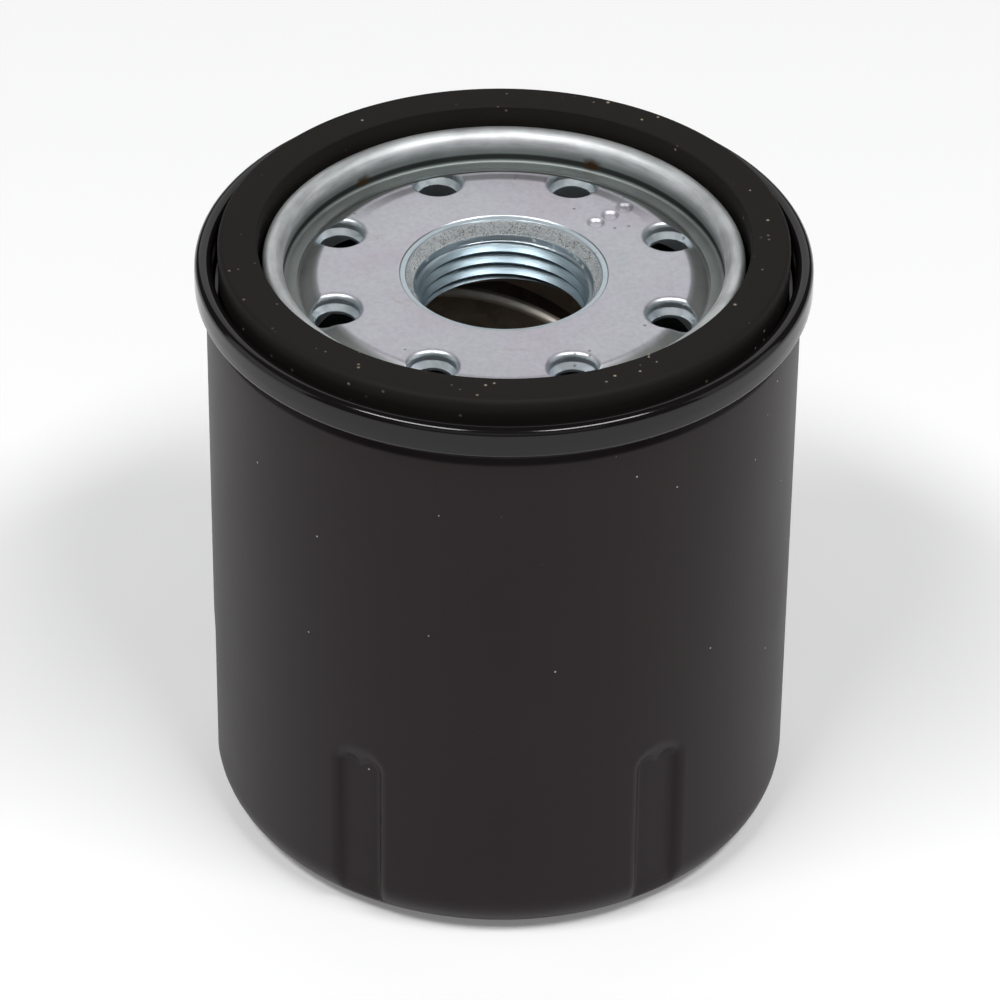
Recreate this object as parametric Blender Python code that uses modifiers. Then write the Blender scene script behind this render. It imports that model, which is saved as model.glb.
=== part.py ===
"""Spin-on oil filter with an M20 x 1.5 thread, modelled as the separate pieces that it is assembled from.

The filter stands on its closed end: +Z runs from that end to the gasket, and the origin is the
centre of the circle that it stands on. Every dimension below is in millimetres, and point() turns
millimetres into Blender's metres.
"""

import math

import bmesh
import bpy

MM = 0.001
SEAM_STEPS = 40          # facets round the outer pieces, which nest with small gaps
INNER_STEPS = 28         # facets round the pieces inside
THREAD_STEPS = 24
HOLE_STEPS = 14
MERGE = 0.00001          # metres

# Case, drawn from sheet
CASE_RADIUS = 33.0
CASE_SHEET = 0.42
CASE_CORNER = 5.2
FOOT_RECESS_RADIUS = 20.0
FOOT_RECESS = 0.8

# Grip flutes pressed into the closed end, for a cap wrench
FLUTES = 6
FLUTE_TOOL_RADIUS = 11.5
FLUTE_DEPTH = 0.85
FLUTE_SPRING = 21.1      # height where the round top of a flute begins
FLUTE_PHASE = -58.75     # degrees

# Double seam that joins the lid to the case
LID_SHEET = 0.32
SEAM_RADIUS = 34.24
SEAM_TOP = 71.0
SEAM_FOOT = 67.4
SEAM_TURN_Z = 69.95
CHUCK_WALL = 32.36       # middle of the lid's wall inside the seam
BODY_HOOK = 33.65        # middle of the case's hook
COVER_HOOK = 33.22       # middle of the lid's hook
BODY_HOOK_TIP = 68.15
COVER_HOOK_TIP = 69.75

# Lid: flange welded to the base plate, bead that locates the gasket, and the gasket's groove
GROOVE_FLOOR = 67.46
FLANGE_INNER = 22.95
BEAD_INNER = 24.61
BEAD_OUTER = 26.54
BEAD_CREST = 71.4

# Gasket
GASKET_INNER = 27.25
GASKET_OUTER = 31.6
GASKET_FOOT = 67.52
GASKET_TOP = 73.1

# Base plate: pressed dish with a tapped neck and a ring of inlet holes
PLATE_TOP = 68.5
PLATE_THICKNESS = 2.2
PLATE_FLANGE_TOP = 67.08
PLATE_RADIUS = 31.3
DISH_RADIUS = 20.6
DISH_FOOT_RADIUS = 22.7
NECK_RADIUS = 11.9
NECK_FOOT = 61.2
NECK_FLARE = 11.58
THREAD_MAJOR = 10.0
THREAD_MINOR = 9.19
THREAD_PITCH = 1.5
INLET_HOLES = 8
INLET_CIRCLE = 19.92
INLET_RADIUS = 2.5
INLET_MOUTH = 3.25
INLET_PHASE = 22.5       # degrees

# Anti-drain valve
COLLAR_INNER = 12.05
COLLAR_OUTER = 13.6
COLLAR_TOP = 65.2
COLLAR_FOOT = 60.9
FLAP_LIP_RADIUS = 26.0
FLAP_LIP_TOP = 64.75

# Element: caps, tube, pleated paper and potting
CAP_SHEET = 0.4
CAP_RIM_RADIUS = 28.4
CAP_RIM_HEIGHT = 3.3
TOP_CAP_Z = 60.5
BOTTOM_CAP_Z = 7.6
TUBE_INNER = 14.0
TUBE_OUTER = 14.5
TUBE_FOOT = 8.2
TUBE_TOP = 59.9
POTTING_INNER = 14.8
POTTING_OUTER = 28.0
POTTING_HEIGHT = 1.4
PLEATS = 36
PLEAT_INNER = 16.2
PLEAT_OUTER = 27.5
PLEAT_FOLD = 0.8
PAPER_THICKNESS = 0.5
PAPER_FOOT = 9.7
PAPER_TOP = 58.5

# Bypass valve, in the foot of the centre tube
SEAT_BORE = 6.0
SEAT_TOP = 9.2
SEAL_FOOT = 9.3
SEAL_THICKNESS = 0.8
SEAL_RADIUS = 8.0
POPPET_RADIUS = 8.2
POPPET_THICKNESS = 1.0
CAGE_RADIUS = 9.25
CAGE_FLANGE_RADIUS = 12.8
CAGE_SHEET = 0.45
CAGE_FOOT = 8.1
CAGE_TOP = 20.55
COIL_RADIUS = 5.2
COIL_WIRE = 0.9
COIL_ACTIVE_TURNS = 3

# Leaf spring that holds the element up against the base plate
LEAF_SHEET = 0.5
LEAF_RING_Z = 7.05
LEAF_LEGS = 4
LEAF_WIDTH = 7.0


def clear_scene():
    for item in list(bpy.data.objects):
        bpy.data.objects.remove(item, do_unlink=True)


def new_collection(name):
    collection = bpy.data.collections.new(name)
    bpy.context.scene.collection.children.link(collection)
    return collection


def point(radius, angle, z):
    """Point at a radius and height in millimetres and an angle in degrees."""
    turn = math.radians(angle)
    return (radius * math.cos(turn) * MM, radius * math.sin(turn) * MM, z * MM)


def arc(centre, radius, start, end, steps):
    """Profile points (r, z) on an arc, from one angle to another in degrees."""
    points = []
    for step in range(steps + 1):
        turn = math.radians(start + (end - start) * step / steps)
        points.append((centre[0] + radius * math.cos(turn), centre[1] + radius * math.sin(turn)))
    return points


def material(name, colour, roughness, metallic):
    finish = bpy.data.materials.new(name)
    finish.use_nodes = True
    shader = finish.node_tree.nodes["Principled BSDF"]
    shader.inputs["Base Color"].default_value = (*colour, 1.0)
    shader.inputs["Roughness"].default_value = roughness
    shader.inputs["Metallic"].default_value = metallic
    finish.diffuse_color = (*colour, 1.0)
    return finish


def place(piece, collection, finish=None):
    collection.objects.link(piece)
    if finish:
        piece.data.materials.append(finish)
    else:
        piece.hide_render = True
        piece.display_type = 'WIRE'
    return piece


def turned(name, profile, steps, closed=True):
    """Turn a profile of (r, z) points about the Z axis."""
    mesh = bpy.data.meshes.new(name)
    points = [point(r, 0, z) for r, z in profile]
    edges = [(index, index + 1) for index in range(len(points) - 1)]
    if closed:
        edges.append((len(points) - 1, 0))
    mesh.from_pydata(points, edges, [])
    piece = bpy.data.objects.new(name, mesh)
    screw = piece.modifiers.new("Turn", 'SCREW')
    screw.steps = steps
    screw.render_steps = steps
    screw.use_merge_vertices = True
    screw.merge_threshold = MERGE
    screw.use_smooth_shade = True
    return piece


def solidify(piece, thickness):
    sheet = piece.modifiers.new("Sheet", 'SOLIDIFY')
    sheet.thickness = thickness * MM
    sheet.offset = 0.0
    sheet.use_even_offset = True
    return piece


def pressed(name, middle, thickness, steps):
    """Turned sheet metal, from the line along the middle of the sheet."""
    return solidify(turned(name, middle, steps, closed=False), thickness)


def boolean(piece, other, operation):
    step = piece.modifiers.new(operation.title(), 'BOOLEAN')
    step.operation = operation
    step.solver = 'EXACT'
    step.object = other


def flute_tool(name, extra, cutters):
    """Round-ended tool that presses one flute; extra is added to its radius."""
    radius = FLUTE_TOOL_RADIUS + extra
    profile = arc((0.0, FLUTE_SPRING), radius, 90, 0, 12)
    profile[0] = (0.0, FLUTE_SPRING + radius)
    profile += [(radius, -5.0), (0.0, -5.0)]
    return place(turned(name, profile, 64, closed=False), cutters)


def make_case(parts, cutters, finish):
    half = CASE_SHEET / 2
    corner = (CASE_RADIUS - CASE_CORNER, CASE_CORNER)
    turn_radius = BODY_HOOK - COVER_HOOK
    middle = [(BODY_HOOK, BODY_HOOK_TIP)]
    middle += arc((COVER_HOOK, SEAM_TURN_Z - 0.02), turn_radius, 0, 180, 4)
    middle += arc(corner, CASE_CORNER - half, 0, -90, 5)
    middle += [(FOOT_RECESS_RADIUS + 1.2, half), (FOOT_RECESS_RADIUS, half + FOOT_RECESS)]
    middle += [(0.0, half + FOOT_RECESS)]
    case = place(pressed("case", middle, CASE_SHEET, SEAM_STEPS), parts, finish)

    # Each flute is the wall pushed inwards: metal is added behind it, then the tool's shape is cut.
    inset = 0.15
    envelope = [(0.0, 30.0), (CASE_RADIUS - inset, 30.0)]
    envelope += arc(corner, CASE_CORNER - inset, 0, -90, 5)
    envelope += [(0.0, inset)]
    inside = place(turned("case_envelope", envelope, SEAM_STEPS, closed=False), cutters)
    axis_radius = CASE_RADIUS - FLUTE_DEPTH + FLUTE_TOOL_RADIUS
    for index in range(FLUTES):
        angle = FLUTE_PHASE + 360 * index / FLUTES
        backing = flute_tool(f"flute_backing_{index}", CASE_SHEET, cutters)
        cut = flute_tool(f"flute_cut_{index}", 0.0, cutters)
        for tool in (backing, cut):
            tool.location = point(axis_radius, angle, 0)
            tool.rotation_euler.z = math.radians(angle)
        boolean(backing, inside, 'INTERSECT')
        boolean(case, backing, 'UNION')
        boolean(case, cut, 'DIFFERENCE')


def make_lid(parts, finish):
    half = LID_SHEET / 2
    floor = GROOVE_FLOOR - half
    bead_turn = (BEAD_OUTER - BEAD_INNER) / 2
    bead_z = BEAD_CREST - half - bead_turn
    seam_turn = SEAM_TOP - half - SEAM_TURN_Z
    panel = SEAM_RADIUS - half
    hem_turn = (panel - COVER_HOOK) / 2
    middle = [(FLANGE_INNER, floor), (BEAD_INNER, floor)]
    middle += arc((BEAD_INNER + bead_turn, bead_z), bead_turn, 180, 0, 4)
    middle += [(BEAD_OUTER, floor), (CHUCK_WALL, floor)]
    middle += arc((CHUCK_WALL + seam_turn, SEAM_TURN_Z), seam_turn, 180, 90, 2)
    middle += arc((panel - seam_turn, SEAM_TURN_Z), seam_turn, 90, 0, 2)[1:]
    middle += arc((panel - hem_turn, SEAM_FOOT + half + hem_turn), hem_turn, 0, -180, 3)
    middle += [(COVER_HOOK, COVER_HOOK_TIP)]
    place(pressed("seaming_lid", middle, LID_SHEET, SEAM_STEPS), parts, finish)


def make_gasket(parts, finish):
    edge = 0.6
    profile = arc((GASKET_OUTER - edge, GASKET_TOP - edge), edge, 90, 0, 3)
    profile += [(GASKET_OUTER, GASKET_FOOT), (GASKET_INNER, GASKET_FOOT)]
    profile += [(GASKET_INNER, GASKET_TOP - 0.3), (GASKET_INNER + 0.3, GASKET_TOP)]
    place(turned("gasket", profile, SEAM_STEPS), parts, finish)


def make_sealant(parts, finish):
    outer = CASE_RADIUS - CASE_SHEET - 0.1
    top = GROOVE_FLOOR - LID_SHEET - 0.08
    profile = [(outer - 0.3, top), (outer, top), (outer, top - 1.0), (outer - 0.95, top)]
    place(turned("seam_sealant", profile, SEAM_STEPS), parts, finish)


def make_thread_tap(cutters):
    """Right-handed helical cutter that runs past both ends of the neck."""
    core = THREAD_MINOR - 0.19
    root = THREAD_PITCH / 16
    half = THREAD_PITCH / 2
    profile = [(core, -half), (THREAD_MAJOR, -root), (THREAD_MAJOR, root), (core, half)]
    turns = 8
    helix = turned("thread_helix", profile, THREAD_STEPS, closed=False)
    screw = helix.modifiers["Turn"]
    screw.use_merge_vertices = False
    screw.screw_offset = THREAD_PITCH * MM
    screw.iterations = turns
    weld = helix.modifiers.new("Weld", 'WELD')
    weld.merge_threshold = MERGE
    place(helix, cutters)
    mesh = bpy.data.meshes.new_from_object(helix.evaluated_get(bpy.context.evaluated_depsgraph_get()))
    shape = bmesh.new()
    shape.from_mesh(mesh)
    rims = [edge for edge in shape.edges if edge.is_boundary]
    bmesh.ops.holes_fill(shape, edges=rims, sides=0)
    bmesh.ops.triangulate(shape, faces=shape.faces)
    bmesh.ops.recalc_face_normals(shape, faces=shape.faces)
    shape.to_mesh(mesh)
    shape.free()
    bpy.data.objects.remove(helix, do_unlink=True)
    tap = bpy.data.objects.new("thread_tap", mesh)
    tap.location.z = (NECK_FOOT - 1.5 * THREAD_PITCH) * MM
    return place(tap, cutters)


def make_base_plate(parts, cutters, finish):
    under = PLATE_TOP - PLATE_THICKNESS
    flange_under = PLATE_FLANGE_TOP - PLATE_THICKNESS
    mouth = THREAD_MINOR + 0.75
    profile = [(NECK_FLARE, PLATE_TOP), (DISH_RADIUS, PLATE_TOP), (DISH_FOOT_RADIUS, PLATE_FLANGE_TOP)]
    profile += [(PLATE_RADIUS, PLATE_FLANGE_TOP), (PLATE_RADIUS, flange_under)]
    profile += [(DISH_FOOT_RADIUS - 0.6, flange_under), (DISH_RADIUS - 0.8, under)]
    profile += [(NECK_RADIUS + 1.0, under), (NECK_RADIUS, under - 0.8), (NECK_RADIUS, NECK_FOOT)]
    profile += [(THREAD_MINOR, NECK_FOOT), (THREAD_MINOR, PLATE_TOP - 2.0)]
    profile += [(mouth, PLATE_TOP - 1.3), (mouth + 0.8, PLATE_TOP - 0.35)]
    plate = place(turned("base_plate", profile, SEAM_STEPS), parts, finish)
    boolean(plate, make_thread_tap(cutters), 'DIFFERENCE')
    slope = (INLET_MOUTH - INLET_RADIUS) / 0.6
    drill = [(0.0, PLATE_TOP + 0.5), (INLET_MOUTH + 0.5 * slope, PLATE_TOP + 0.5)]
    drill += [(INLET_RADIUS, PLATE_TOP - 0.6), (INLET_RADIUS, under - 1.0), (0.0, under - 1.0)]
    for index in range(INLET_HOLES):
        cutter = place(turned(f"inlet_{index}", drill, HOLE_STEPS, closed=False), cutters)
        cutter.location = point(INLET_CIRCLE, INLET_PHASE + 360 * index / INLET_HOLES, 0)
        boolean(plate, cutter, 'DIFFERENCE')


def make_drain_valve(parts, finish):
    lip = FLAP_LIP_RADIUS
    profile = [(COLLAR_INNER, COLLAR_TOP), (COLLAR_OUTER, COLLAR_TOP), (COLLAR_OUTER + 0.3, 63.9)]
    profile += [(23.4, 63.1), (lip - 1.2, FLAP_LIP_TOP), (lip, FLAP_LIP_TOP), (lip - 1.9, 61.9)]
    profile += [(COLLAR_OUTER + 0.5, 62.6), (COLLAR_OUTER, COLLAR_FOOT), (COLLAR_INNER, COLLAR_FOOT)]
    place(turned("anti_drain_valve", profile, INNER_STEPS), parts, finish)


def make_caps(parts, finish):
    top = [(12.4, TOP_CAP_Z - 1.3), (12.4, TOP_CAP_Z - 0.3), (12.7, TOP_CAP_Z)]
    top += [(CAP_RIM_RADIUS - 0.5, TOP_CAP_Z), (CAP_RIM_RADIUS, TOP_CAP_Z - 0.5)]
    top += [(CAP_RIM_RADIUS, TOP_CAP_Z - CAP_RIM_HEIGHT)]
    place(pressed("element_top_cap", top, CAP_SHEET, INNER_STEPS), parts, finish)
    bottom = [(SEAT_BORE + 1.1, BOTTOM_CAP_Z), (CAP_RIM_RADIUS - 0.5, BOTTOM_CAP_Z)]
    bottom += [(CAP_RIM_RADIUS, BOTTOM_CAP_Z + 0.5), (CAP_RIM_RADIUS, BOTTOM_CAP_Z + CAP_RIM_HEIGHT)]
    place(pressed("element_bottom_cap", bottom, CAP_SHEET, INNER_STEPS), parts, finish)


def make_centre_tube(parts, cutters, finish):
    """Tube with rows of drainage holes, turned by half a hole from row to row."""
    profile = [(TUBE_OUTER, TUBE_TOP), (TUBE_OUTER, TUBE_FOOT), (TUBE_INNER, TUBE_FOOT)]
    profile += [(TUBE_INNER, TUBE_TOP)]
    tube = place(turned("centre_tube", profile, INNER_STEPS), parts, finish)
    rows = 4
    across = 3
    for row in range(rows):
        for index in range(across):
            bpy.ops.mesh.primitive_cylinder_add(vertices=8, radius=2.2 * MM, depth=40 * MM)
            drill = bpy.context.object
            drill.name = f"drain_{row}_{index}"
            drill.location = (0.0, 0.0, (24.5 + 8.0 * row) * MM)
            turn = math.radians(180 * (index + 0.5 * (row % 2)) / across + 5)
            drill.rotation_euler = (math.pi / 2, 0.0, turn)
            for collection in list(drill.users_collection):
                collection.objects.unlink(drill)
            place(drill, cutters)
            boolean(tube, drill, 'DIFFERENCE')


def make_potting(parts, finish):
    feet = {"top_potting": TUBE_TOP - 1.2, "bottom_potting": TUBE_FOOT - 0.1}
    for name, foot in feet.items():
        top = foot + POTTING_HEIGHT
        profile = [(POTTING_OUTER, top), (POTTING_OUTER, foot), (POTTING_INNER, foot)]
        profile += [(POTTING_INNER, top)]
        place(turned(name, profile, INNER_STEPS), parts, finish)


def make_paper(parts, finish):
    """One pleated strip whose two ends lie side by side on the +X side."""
    step = 360 / PLEATS
    end = math.degrees(0.42 / PLEAT_OUTER)
    inner = math.degrees(PLEAT_FOLD / 2 / PLEAT_INNER)
    outer = math.degrees(PLEAT_FOLD / 2 / PLEAT_OUTER)
    plan = [(PLEAT_OUTER - 0.2, end)]
    for index in range(PLEATS):
        valley = (index + 0.5) * step
        plan += [(PLEAT_INNER, valley - inner), (PLEAT_INNER, valley + inner)]
        if index < PLEATS - 1:
            ridge = (index + 1) * step
            plan += [(PLEAT_OUTER, ridge - outer), (PLEAT_OUTER, ridge + outer)]
    plan.append((PLEAT_OUTER - 0.2, 360 - end))
    count = len(plan)
    points = [point(r, angle, z) for z in (PAPER_FOOT, PAPER_TOP) for r, angle in plan]
    faces = [(i, i + 1, count + i + 1, count + i) for i in range(count - 1)]
    mesh = bpy.data.meshes.new("filter_paper")
    mesh.from_pydata(points, [], faces)
    paper = bpy.data.objects.new("filter_paper", mesh)
    place(solidify(paper, PAPER_THICKNESS), parts, finish)


def make_paper_clip(parts, finish):
    """Channel that grips the two ends of the paper."""
    mouth = 24.6
    back = 27.9
    wall = 0.3
    outline = [(mouth, -1.3), (back, -1.3), (back, 1.3), (mouth, 1.3)]
    outline += [(mouth, 1.3 - wall), (back - wall, 1.3 - wall)]
    outline += [(back - wall, wall - 1.3), (mouth, wall - 1.3)]
    curve = bpy.data.curves.new("paper_seam_clip", 'CURVE')
    curve.dimensions = '2D'
    curve.fill_mode = 'BOTH'
    curve.extrude = (PAPER_TOP - PAPER_FOOT) / 2 * MM
    spline = curve.splines.new('POLY')
    spline.points.add(len(outline) - 1)
    for target, (x, y) in zip(spline.points, outline):
        target.co = (x * MM, y * MM, 0.0, 1.0)
    spline.use_cyclic_u = True
    clip = bpy.data.objects.new("paper_seam_clip", curve)
    clip.location.z = (PAPER_TOP + PAPER_FOOT) / 2 * MM
    place(clip, parts, finish)


def make_bypass_seat(parts, finish):
    profile = [(SEAT_BORE, SEAT_TOP), (SEAT_BORE + 0.7, SEAT_TOP), (SEAT_BORE + 0.9, 8.4)]
    profile += [(8.7, 8.4), (8.7, 7.9), (SEAT_BORE + 0.8, 7.9), (SEAT_BORE + 0.8, 7.45)]
    profile += [(SEAT_BORE, 7.45)]
    place(turned("bypass_seat", profile, INNER_STEPS), parts, finish)


def make_bypass_cage(parts, cutters, finish):
    middle = [(3.0, CAGE_TOP), (CAGE_RADIUS - 0.7, CAGE_TOP), (CAGE_RADIUS, CAGE_TOP - 0.7)]
    middle += [(CAGE_RADIUS, CAGE_FOOT + 0.5), (CAGE_RADIUS + 0.5, CAGE_FOOT)]
    middle += [(CAGE_FLANGE_RADIUS, CAGE_FOOT)]
    cage = place(pressed("bypass_cage", middle, CAGE_SHEET, INNER_STEPS), parts, finish)
    for index in range(2):
        bpy.ops.mesh.primitive_cube_add(size=1.0)
        window = bpy.context.object
        window.name = f"cage_window_{index}"
        window.dimensions = (30 * MM, 7 * MM, 6.5 * MM)
        window.location.z = 15.0 * MM
        window.rotation_euler.z = math.radians(45 + 90 * index)
        for collection in list(window.users_collection):
            collection.objects.unlink(window)
        place(window, cutters)
        boolean(cage, window, 'DIFFERENCE')


def make_bypass_poppet(parts, finish):
    foot = SEAL_FOOT + SEAL_THICKNESS + 0.1
    top = foot + POPPET_THICKNESS
    profile = [(0.0, top + 1.5), (3.6, top + 1.5), (4.2, top + 0.9), (4.2, top), (POPPET_RADIUS, top)]
    profile += [(POPPET_RADIUS, foot), (2.5, foot), (2.5, SEAL_FOOT - 0.2), (0.0, SEAL_FOOT - 0.2)]
    place(turned("bypass_poppet", profile, INNER_STEPS, closed=False), parts, finish)


def make_bypass_seal(parts, finish):
    top = SEAL_FOOT + SEAL_THICKNESS
    profile = [(SEAL_RADIUS, top), (SEAL_RADIUS, SEAL_FOOT), (2.7, SEAL_FOOT), (2.7, top)]
    place(turned("bypass_seal", profile, INNER_STEPS), parts, finish)


def make_bypass_spring(parts, finish):
    """Coil with one closed turn at each end, between the poppet and the roof of the cage."""
    foot = SEAL_FOOT + SEAL_THICKNESS + 0.1 + POPPET_THICKNESS + 0.1 + COIL_WIRE / 2
    top = CAGE_TOP - CAGE_SHEET / 2 - 0.1 - COIL_WIRE / 2
    closed = COIL_WIRE + 0.12
    per_turn = 12
    turns = COIL_ACTIVE_TURNS + 2
    curve = bpy.data.curves.new("bypass_spring", 'CURVE')
    curve.dimensions = '3D'
    curve.bevel_depth = COIL_WIRE / 2 * MM
    curve.bevel_resolution = 2
    curve.use_fill_caps = True
    spline = curve.splines.new('POLY')
    spline.points.add(turns * per_turn)
    active_rise = top - foot - 2 * closed
    for index, target in enumerate(spline.points):
        turn = index / per_turn
        low = min(turn, 1.0) * closed
        high = max(turn - turns + 1, 0.0) * closed
        active = min(max(turn - 1, 0.0), COIL_ACTIVE_TURNS) / COIL_ACTIVE_TURNS * active_rise
        target.co = (*point(COIL_RADIUS, 360 * turn, foot + low + active + high), 1.0)
    place(bpy.data.objects.new("bypass_spring", curve), parts, finish)


def make_support_spring(parts, cutters, finish):
    """Ring under the element with legs that stand on the case's floor."""
    half = LEAF_SHEET / 2
    ring = [(10.8, LEAF_RING_Z + half), (10.8, LEAF_RING_Z - half), (6.6, LEAF_RING_Z - half)]
    ring += [(6.6, LEAF_RING_Z + half)]
    spring = place(turned("support_spring", ring, INNER_STEPS), parts, finish)
    floor = CASE_SHEET + 0.1 + half
    side = [(9.6, LEAF_RING_Z - 0.06), (12.0, LEAF_RING_Z - 0.5), (20.6, floor + 0.9)]
    side += [(23.0, floor), (24.6, floor), (26.0, floor + 0.7)]
    for index in range(LEAF_LEGS):
        reach = [(r, y, z) for y in (-LEAF_WIDTH / 2, LEAF_WIDTH / 2) for r, z in side]
        points = [(x * MM, y * MM, z * MM) for x, y, z in reach]
        count = len(side)
        faces = [(i, i + 1, count + i + 1, count + i) for i in range(count - 1)]
        mesh = bpy.data.meshes.new(f"leaf_{index}")
        mesh.from_pydata(points, [], faces)
        leg = bpy.data.objects.new(f"leaf_{index}", mesh)
        leg.rotation_euler.z = math.radians(45 + 360 * index / LEAF_LEGS)
        place(solidify(leg, LEAF_SHEET - 0.06), cutters)
        boolean(spring, leg, 'UNION')


def build():
    clear_scene()
    parts = new_collection("oil_filter")
    cutters = new_collection("oil_filter_cutters")
    black_paint = material("black_paint", (0.030, 0.028, 0.028), 0.42, 0.0)
    black_seam = material("black_seam_paint", (0.018, 0.018, 0.018), 0.22, 0.0)
    zinc_plate = material("zinc_plate", (0.62, 0.63, 0.66), 0.38, 1.0)
    nitrile = material("nitrile_rubber", (0.030, 0.029, 0.027), 0.75, 0.0)
    compound = material("seam_compound", (0.25, 0.24, 0.22), 0.70, 0.0)
    silicone = material("valve_rubber", (0.050, 0.048, 0.046), 0.65, 0.0)
    tinplate = material("tinplate", (0.50, 0.48, 0.44), 0.40, 1.0)
    tube_steel = material("tube_steel", (0.42, 0.38, 0.33), 0.42, 1.0)
    paper = material("resin_paper", (0.62, 0.45, 0.22), 0.85, 0.0)
    potting = material("potting_resin", (0.30, 0.12, 0.06), 0.55, 0.0)
    spring_steel = material("spring_steel", (0.30, 0.30, 0.31), 0.35, 1.0)
    bare_steel = material("bare_steel", (0.48, 0.48, 0.48), 0.35, 1.0)

    make_case(parts, cutters, black_paint)
    make_lid(parts, black_seam)
    make_gasket(parts, nitrile)
    make_sealant(parts, compound)
    make_base_plate(parts, cutters, zinc_plate)
    make_drain_valve(parts, silicone)
    make_caps(parts, tinplate)
    make_centre_tube(parts, cutters, tube_steel)
    make_potting(parts, potting)
    make_paper(parts, paper)
    make_paper_clip(parts, bare_steel)
    make_bypass_seat(parts, bare_steel)
    make_bypass_cage(parts, cutters, tinplate)
    make_bypass_poppet(parts, bare_steel)
    make_bypass_seal(parts, nitrile)
    make_bypass_spring(parts, spring_steel)
    make_support_spring(parts, cutters, spring_steel)
    cutters.hide_render = True


build()
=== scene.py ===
import math

import bpy
from mathutils import Euler, Matrix, Vector


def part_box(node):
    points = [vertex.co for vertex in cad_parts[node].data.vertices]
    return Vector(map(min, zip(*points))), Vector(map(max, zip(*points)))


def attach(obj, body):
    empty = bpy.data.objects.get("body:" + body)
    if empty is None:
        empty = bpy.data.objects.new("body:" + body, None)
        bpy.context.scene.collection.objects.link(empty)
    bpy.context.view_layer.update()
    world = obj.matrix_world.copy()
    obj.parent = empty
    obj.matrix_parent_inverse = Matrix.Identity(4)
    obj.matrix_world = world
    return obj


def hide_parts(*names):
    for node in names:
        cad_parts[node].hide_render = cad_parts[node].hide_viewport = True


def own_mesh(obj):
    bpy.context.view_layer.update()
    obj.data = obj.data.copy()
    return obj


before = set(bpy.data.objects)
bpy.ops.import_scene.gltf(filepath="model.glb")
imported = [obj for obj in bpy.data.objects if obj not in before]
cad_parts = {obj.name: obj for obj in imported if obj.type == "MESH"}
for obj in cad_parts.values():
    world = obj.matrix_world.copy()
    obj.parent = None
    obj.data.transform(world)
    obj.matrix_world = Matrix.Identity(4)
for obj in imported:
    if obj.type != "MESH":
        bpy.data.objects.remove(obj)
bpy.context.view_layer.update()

mm = 0.001
turnSteps = 300            # facets round the large pieces
fineMerge = 0.000002


def report(stage):
    print("oil filter:", stage)


def boxOf(node):
    # lowest and highest corner of a CAD node, in millimetres
    low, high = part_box(node)
    return Vector(low) / mm, Vector(high) / mm


def roundedLine(corners, arcStep=10.0):
    # (r, z, radius) corners to points; a radius of 0 keeps the corner sharp
    points = []
    for index, (r, z, radius) in enumerate(corners):
        here = Vector((r, z))
        if radius == 0 or index in (0, len(corners) - 1):
            points.append(here)
            continue
        back = (Vector(corners[index - 1][:2]) - here).normalized()
        ahead = (Vector(corners[index + 1][:2]) - here).normalized()
        half = back.angle(ahead) / 2
        centre = here + (back + ahead).normalized() * radius / math.sin(half)
        start = here + back * radius / math.tan(half) - centre
        end = here + ahead * radius / math.tan(half) - centre
        sweep = start.angle_signed(end)
        steps = max(2, round(math.degrees(abs(sweep)) / arcStep))
        for step in range(steps + 1):
            points.append(centre + Matrix.Rotation(-sweep * step / steps, 2) @ start)
    return points


def fineLine(start, end, spacing):
    # evenly spaced points after start, up to end
    a, b = Vector(start), Vector(end)
    count = max(1, round((b - a).length / spacing))
    return [a.lerp(b, (step + 1) / count) for step in range(count)]


def deselect():
    bpy.ops.object.select_all(action='DESELECT')


def makeActive(piece):
    deselect()
    piece.select_set(True)
    bpy.context.view_layer.objects.active = piece


def drawLine(name, points):
    # one vertex, extruded from point to point on the plane y = 0, and left in edit mode
    deselect()
    bpy.ops.mesh.primitive_plane_add(size=mm)
    piece = bpy.context.object
    piece.name = name
    piece.data.name = name
    bpy.ops.object.mode_set(mode='EDIT')
    bpy.ops.mesh.select_all(action='SELECT')
    bpy.ops.mesh.merge(type='CENTER')
    here = Vector((0.0, 0.0))
    for index, there in enumerate(points):
        move = ((there.x - here.x) * mm, 0.0, (there.y - here.y) * mm)
        if index == 0:
            bpy.ops.transform.translate(value=move)
        else:
            bpy.ops.mesh.extrude_region_move(TRANSFORM_OT_translate={"value": move})
        here = there
    return piece


def drawPlan(name, points, low, high):
    # a wall that stands on a drawn line, from one height to another, left in edit mode
    piece = drawLine(name, points)
    bpy.ops.mesh.select_all(action='SELECT')
    bpy.ops.transform.rotate(value=math.pi / 2, orient_axis='X', center_override=(0, 0, 0))
    bpy.ops.transform.translate(value=(0, 0, low * mm))
    bpy.ops.mesh.extrude_region_move(TRANSFORM_OT_translate={"value": (0, 0, (high - low) * mm)})
    return piece


def cleanUp():
    # in edit mode: close seams and poles, then face everything outwards
    bpy.ops.mesh.select_all(action='SELECT')
    bpy.ops.mesh.remove_doubles(threshold=fineMerge)
    bpy.ops.mesh.normals_make_consistent(inside=False)
    bpy.ops.object.mode_set(mode='OBJECT')


def applyModifier(piece, kind, **settings):
    makeActive(piece)
    modifier = piece.modifiers.new(kind.title(), kind)
    for key, value in settings.items():
        setattr(modifier, key, value)
    bpy.ops.object.modifier_apply(modifier=modifier.name)


def thicken(piece, sheet):
    applyModifier(piece, 'SOLIDIFY', thickness=sheet * mm, offset=0.0, use_even_offset=True)


def smooth(piece, angle=32):
    makeActive(piece)
    bpy.ops.object.shade_smooth_by_angle(angle=math.radians(angle))


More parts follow.
